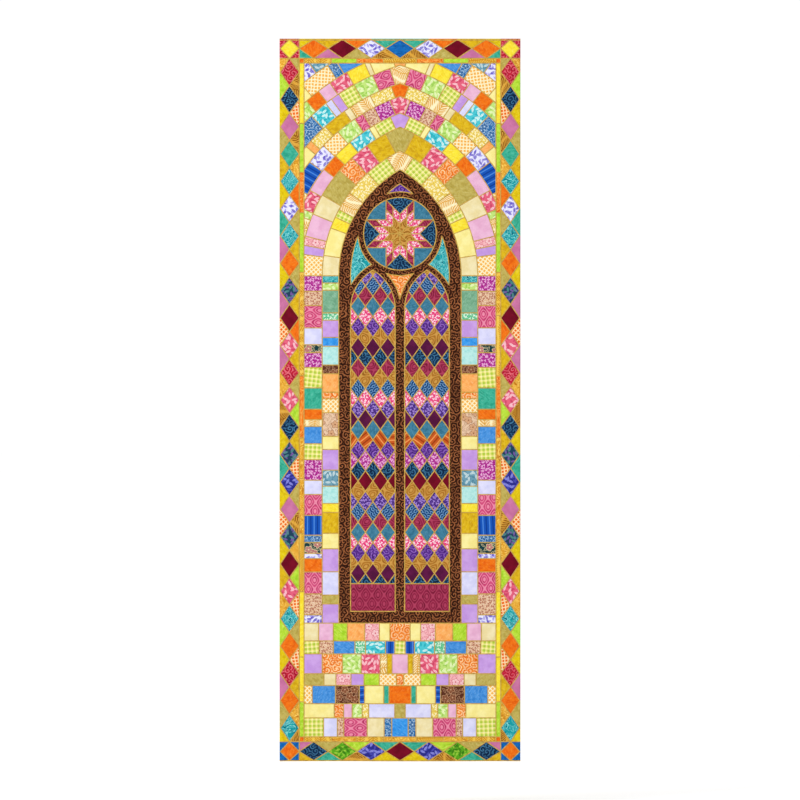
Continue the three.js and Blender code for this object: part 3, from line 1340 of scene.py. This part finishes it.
def unbleached():
    """Plain unbleached cotton for the ground cloth and its hems, with slubs and a few husk flecks."""
    shade = Shade("Unbleached cotton")
    place = shade.place()
    weave = weave_of(place, GROUND_PITCH)
    warp, weft = (noise(place * drawn_out, 1.0) for drawn_out in ((900.0, 60.0, 0.0), (60.0, 900.0, 0.0)))
    slub = (warp + weft) * 0.5
    yarn = mix(ease(slub, 0.38, 0.62), undyed("E0D2AF"), undyed("EBDFC1"))
    cell = node("TexVoronoi", {"Vector": place, "Scale": 95.0}, voronoi_dimensions="2D").outputs
    few = ease(parts(Value(cell["Color"]))[0], 0.6, 0.65)
    fleck = ease(Value(cell["Distance"]), 0.045, 0.02) * few
    sockets = {
        # The weave term paints the raised threads lighter and the hollows darker: painted shade.
        "Base Color": mix(fleck * 0.5, yarn, undyed("8A6A3C")) * (weave * 0.05 + 0.95),
        "Roughness": slub * 0.1 + 0.82,
        "Specular IOR Level": 0.2,
    }
    return shade.finish(sockets, weave * GROUND_RELIEF + slub * SLUB_RELIEF)


# Pieces

GRID_ACROSS = 24
GRID_DOWN = 64


def stations(size, hem, lines):
    """Places across the cloth: close together over each rolled edge and hem edge, and even between them."""
    fold = np.array([0, 0.12, 0.45, 1.0]) * ROUNDING
    near = np.concatenate([fold, [hem / 2, hem - 0.6 * MM, hem, hem + 0.5 * MM]])
    inner = np.linspace(hem + 3 * MM, size - hem - 3 * MM, lines)
    return np.concatenate([near, inner, size - near[::-1]])


def ground_cloth():
    """The ground cloth with its hems: front and back sheets that round into each other at the edge."""
    across = stations(2 * HALF_WIDTH, SIDE_HEM, GRID_ACROSS)
    down = stations(HEIGHT, END_HEM, GRID_DOWN)
    from_side = np.minimum(across, across[::-1])[None]
    from_end = np.minimum(down, down[::-1])[:, None]
    gap = np.clip(1 - np.minimum(from_side, from_end) / ROUNDING, 0, 1)
    swell = np.sqrt(1 - gap ** 2)
    hemmed = np.maximum(
        np.clip((SIDE_HEM + HEM_FALL - from_side) / HEM_FALL, 0, 1),
        np.clip((END_HEM + HEM_FALL - from_end) / HEM_FALL, 0, 1),
    )
    middle = HEM_BACK / 2
    back = GROUND_BACK + (HEM_BACK - GROUND_BACK) * hemmed
    front = middle * (1 - swell)
    back = middle + (back - middle) * swell
    x, z = np.meshgrid(across - HALF_WIDTH, -down[::-1])
    flat, faces = shell(x, z, front[::-1], back[::-1])
    cloth = Cloth()
    cloth.add(flat, faces, flat[:, :2])
    piece = closed_up(cloth.make("ground_cloth", unbleached()))
    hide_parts("banner_cloth")
    return piece


def window_batik(material):
    """One arched piece of batik: rows up the window, closed to a point at the apex, puffed at its edges."""
    grid, near_apex = 25 * MM, 30 * MM
    edge = np.concatenate([PUFF_INSETS, np.linspace(grid, WINDOW_HALF, 7)])
    legs = WINDOW_FOOT + np.concatenate([PUFF_INSETS, np.arange(grid, SPRING - WINDOW_FOOT, grid)])
    angles = np.linspace(0, apex_angle(ARCH_RADIUS), 26)
    up = np.concatenate([legs, SPRING + ARCH_RADIUS * np.sin(angles)])
    rise = np.maximum(up - SPRING, 0)
    half = np.maximum(np.sqrt(ARCH_RADIUS ** 2 - rise ** 2) - WINDOW_HALF, 0)
    inward = half[:, None] * (edge / edge[-1])[None]
    inward = np.where(half[:, None] > near_apex, np.minimum(edge[None], half[:, None]), inward)
    x = np.concatenate([-(half[:, None] - inward), (half[:, None] - inward)[:, -2::-1]], axis=1)
    z = np.broadcast_to(up[:, None], x.shape)
    from_edge = np.minimum(half[:, None] - np.abs(x), (up - WINDOW_FOOT)[:, None])
    front = np.interp(from_edge, PUFF_INSETS, PUFF_LIFTS)
    back = np.where(from_edge <= 0, 0, UNDERSIDE)
    flat, faces = shell(x, z, front, back)
    cloth = Cloth()
    pinch = np.concatenate([np.interp(from_edge, PUFF_INSETS, PINCHED).ravel()] * 2)
    cloth.add(flat, faces, flat[:, :2] + 1.0, colours_of("batik_brown"), pinch)
    return closed_up(cloth.make("patches_window_batik", material))


def patches_of(print_name, material):
    """Every patch of one print, each puffed and laid on the cloth, as one piece."""
    cloth = Cloth()
    for outline, fabric, lift in quilt.patches:
        if PRINT_OF[fabric] == print_name:
            flat, faces, pinch = puffed(outline, lift)
            cloth.add(kept_on(flat), faces, turned(flat, outline), colours_of(fabric), pinch)
    return cloth.make(f"patches_{print_name}", material)


def gold_seams(where, material):
    """The satin along one group of seams, as one piece."""
    cloth = Cloth()
    for line, lift, closed in quilt.seams[where]:
        flat, faces, places = satin(line, lift, closed, SEAM_WIDTH, SEAM_HEIGHT)
        cloth.add(kept_on(flat), faces, places)
    return cloth.make(f"gold_seams_{where}", material)


def sewn_behind(cloth, stitch, surface):
    """Adds a line of satin turned over, so that what stood in front of lift 0 stands behind the surface."""
    flat, faces, places = stitch
    flat = np.column_stack([flat[:, :2], surface - flat[:, 2]])
    cloth.add(flat, [face[::-1] for face in faces], places)


def seam_backs(material):
    """Where the satin stitch comes through: a thin line of thread behind each seam, inside the hems."""
    width, height, sunk, longest = 1.7 * MM, 0.22 * MM, 0.02 * MM, 40 * MM
    inside = box_outline(-HALF_WIDTH + SIDE_HEM, HALF_WIDTH - SIDE_HEM, FOOT + END_HEM, -END_HEM)
    cloth = Cloth()
    for line, _, closed in (s for seams in quilt.seams.values() for s in seams):
        whole = np.concatenate([line, line[:1]]) if closed else line
        for stretch in lines_inside(whole, inside):
            sewn_behind(cloth, satin(stretch, -sunk, False, width, height, longest), GROUND_BACK)
    return cloth.make("seam_backs", material)


def hem_stitches(material):
    """Slanted felling stitches over the hem's inner edge, a short half-round thread each."""
    cloth = Cloth()
    pitch, lean, reach, uneven = 7 * MM, 1.6 * MM, 1.9 * MM, 0.12
    width, height, sunk = 0.8 * MM, 0.4 * MM, 0.05 * MM
    off_hem, on_hem = -1.5 * MM, -0.4 * MM
    left, top = -HALF_WIDTH + SIDE_HEM, -END_HEM
    runs = [  # start, along, outward, length
        ((left, top), (1, 0), (0, 1), -2 * left),
        ((-left, FOOT - top), (-1, 0), (0, -1), -2 * left),
        ((left, FOOT - top), (0, 1), (-1, 0), HEIGHT + 2 * top),
        ((-left, top), (0, -1), (1, 0), HEIGHT + 2 * top),
    ]
    for start, along, outward, length in runs:
        start, along, outward = (np.array(v, float) for v in (start, along, outward))
        for k in range(1, int(length / pitch)):
            middle = start + along * pitch * (k + rng.uniform(-uneven, uneven))
            half = outward * reach - along * lean
            line = np.array([middle + half, middle, middle - half])
            stitch = satin(line, 0, False, width, height)
            over = (stitch[0][:, :2] - middle) @ outward
            surface = np.interp(over, [off_hem, on_hem], [GROUND_BACK, HEM_BACK])
            sewn_behind(cloth, stitch, surface + sunk)
    return cloth.make("hem_stitches", material)


gold = thread("Gold satin stitch", "86661A", "D0A846")
bobbin = thread("Bobbin thread", "A68C52", "CFB67E")
cottons = {name: cotton(f"Cotton {name}", paint) for name, paint in PRINTS.items()}

ground = ground_cloth()
sewn_on = [patches_of(name, material) for name, material in cottons.items()]
sewn_on.append(window_batik(cottons["scroll"]))
sewn_on += [gold_seams(where, gold) for where in quilt.seams]
sewn_on.append(seam_backs(bobbin))
sewn_on.append(hem_stitches(bobbin))


# Floor, light and camera

FLOOR = FOOT - 0.12
FLOOR_HALF = 60.0
FLOOR_WHITE = 0.97
SKY_WHITE = 1.04
MIDDLE = (0, 0, FOOT / 2)
LAMP_PLACE = (-6.2, -3.6, 2.4)
LAMP_SIZE = 2.4
LAMP_POWER = 370
FRAME_SIDE = 800  # pixels
PIXEL = 2.532 * MM  # what one of them covers at the banner
CAMERA_AWAY = 9.0
SENSOR = 36  # millimetres, as the lens


def floor():
    """One wide pale square, some way under the banner."""
    mesh = bpy.data.meshes.new("floor")
    corners = [(-1, -1), (1, -1), (1, 1), (-1, 1)]
    mesh.from_pydata([(x * FLOOR_HALF, y * FLOOR_HALF, FLOOR) for x, y in corners], [], [(0, 1, 2, 3)])
    white = (FLOOR_WHITE, FLOOR_WHITE, FLOOR_WHITE, 1)
    mesh.materials.append(Shade("Pale floor").finish({"Base Color": white, "Roughness": 0.9}))
    plane = bpy.data.objects.new("floor", mesh)
    bpy.context.scene.collection.objects.link(plane)


def sky():
    """Even white light from all round."""
    world = bpy.data.worlds.new("Soft white room")
    world.use_nodes = True
    background = world.node_tree.nodes["Background"].inputs
    background["Color"].default_value = (1, 1, 1, 1)
    background["Strength"].default_value = SKY_WHITE
    bpy.context.scene.world = world


def soft_lamp(name, place, aim, size, power):
    """A square lamp turned to face its aim."""
    data = bpy.data.lights.new(name, "AREA")
    data.size = size
    data.energy = power
    lamp = bpy.data.objects.new(name, data)
    bpy.context.scene.collection.objects.link(lamp)
    lamp.location = place
    direction = lamp.location - type(lamp.location)(aim)
    lamp.rotation_euler = direction.to_track_quat("Z", "Y").to_euler()


def camera():
    """Face on to the banner's middle, from far off, as the photo is."""
    data = bpy.data.cameras.new("camera")
    data.sensor_width = SENSOR
    data.lens = SENSOR * CAMERA_AWAY / (FRAME_SIDE * PIXEL)
    data.clip_end = 300
    eye = bpy.data.objects.new("camera", data)
    eye.location = (0, -CAMERA_AWAY, FOOT / 2)
    eye.rotation_euler = (math.pi / 2, 0, 0)
    bpy.context.scene.collection.objects.link(eye)
    bpy.context.scene.camera = eye


floor()
sky()
soft_lamp("window_light", LAMP_PLACE, MIDDLE, LAMP_SIZE, LAMP_POWER)
camera()
bpy.context.scene.view_settings.view_transform = "Standard"
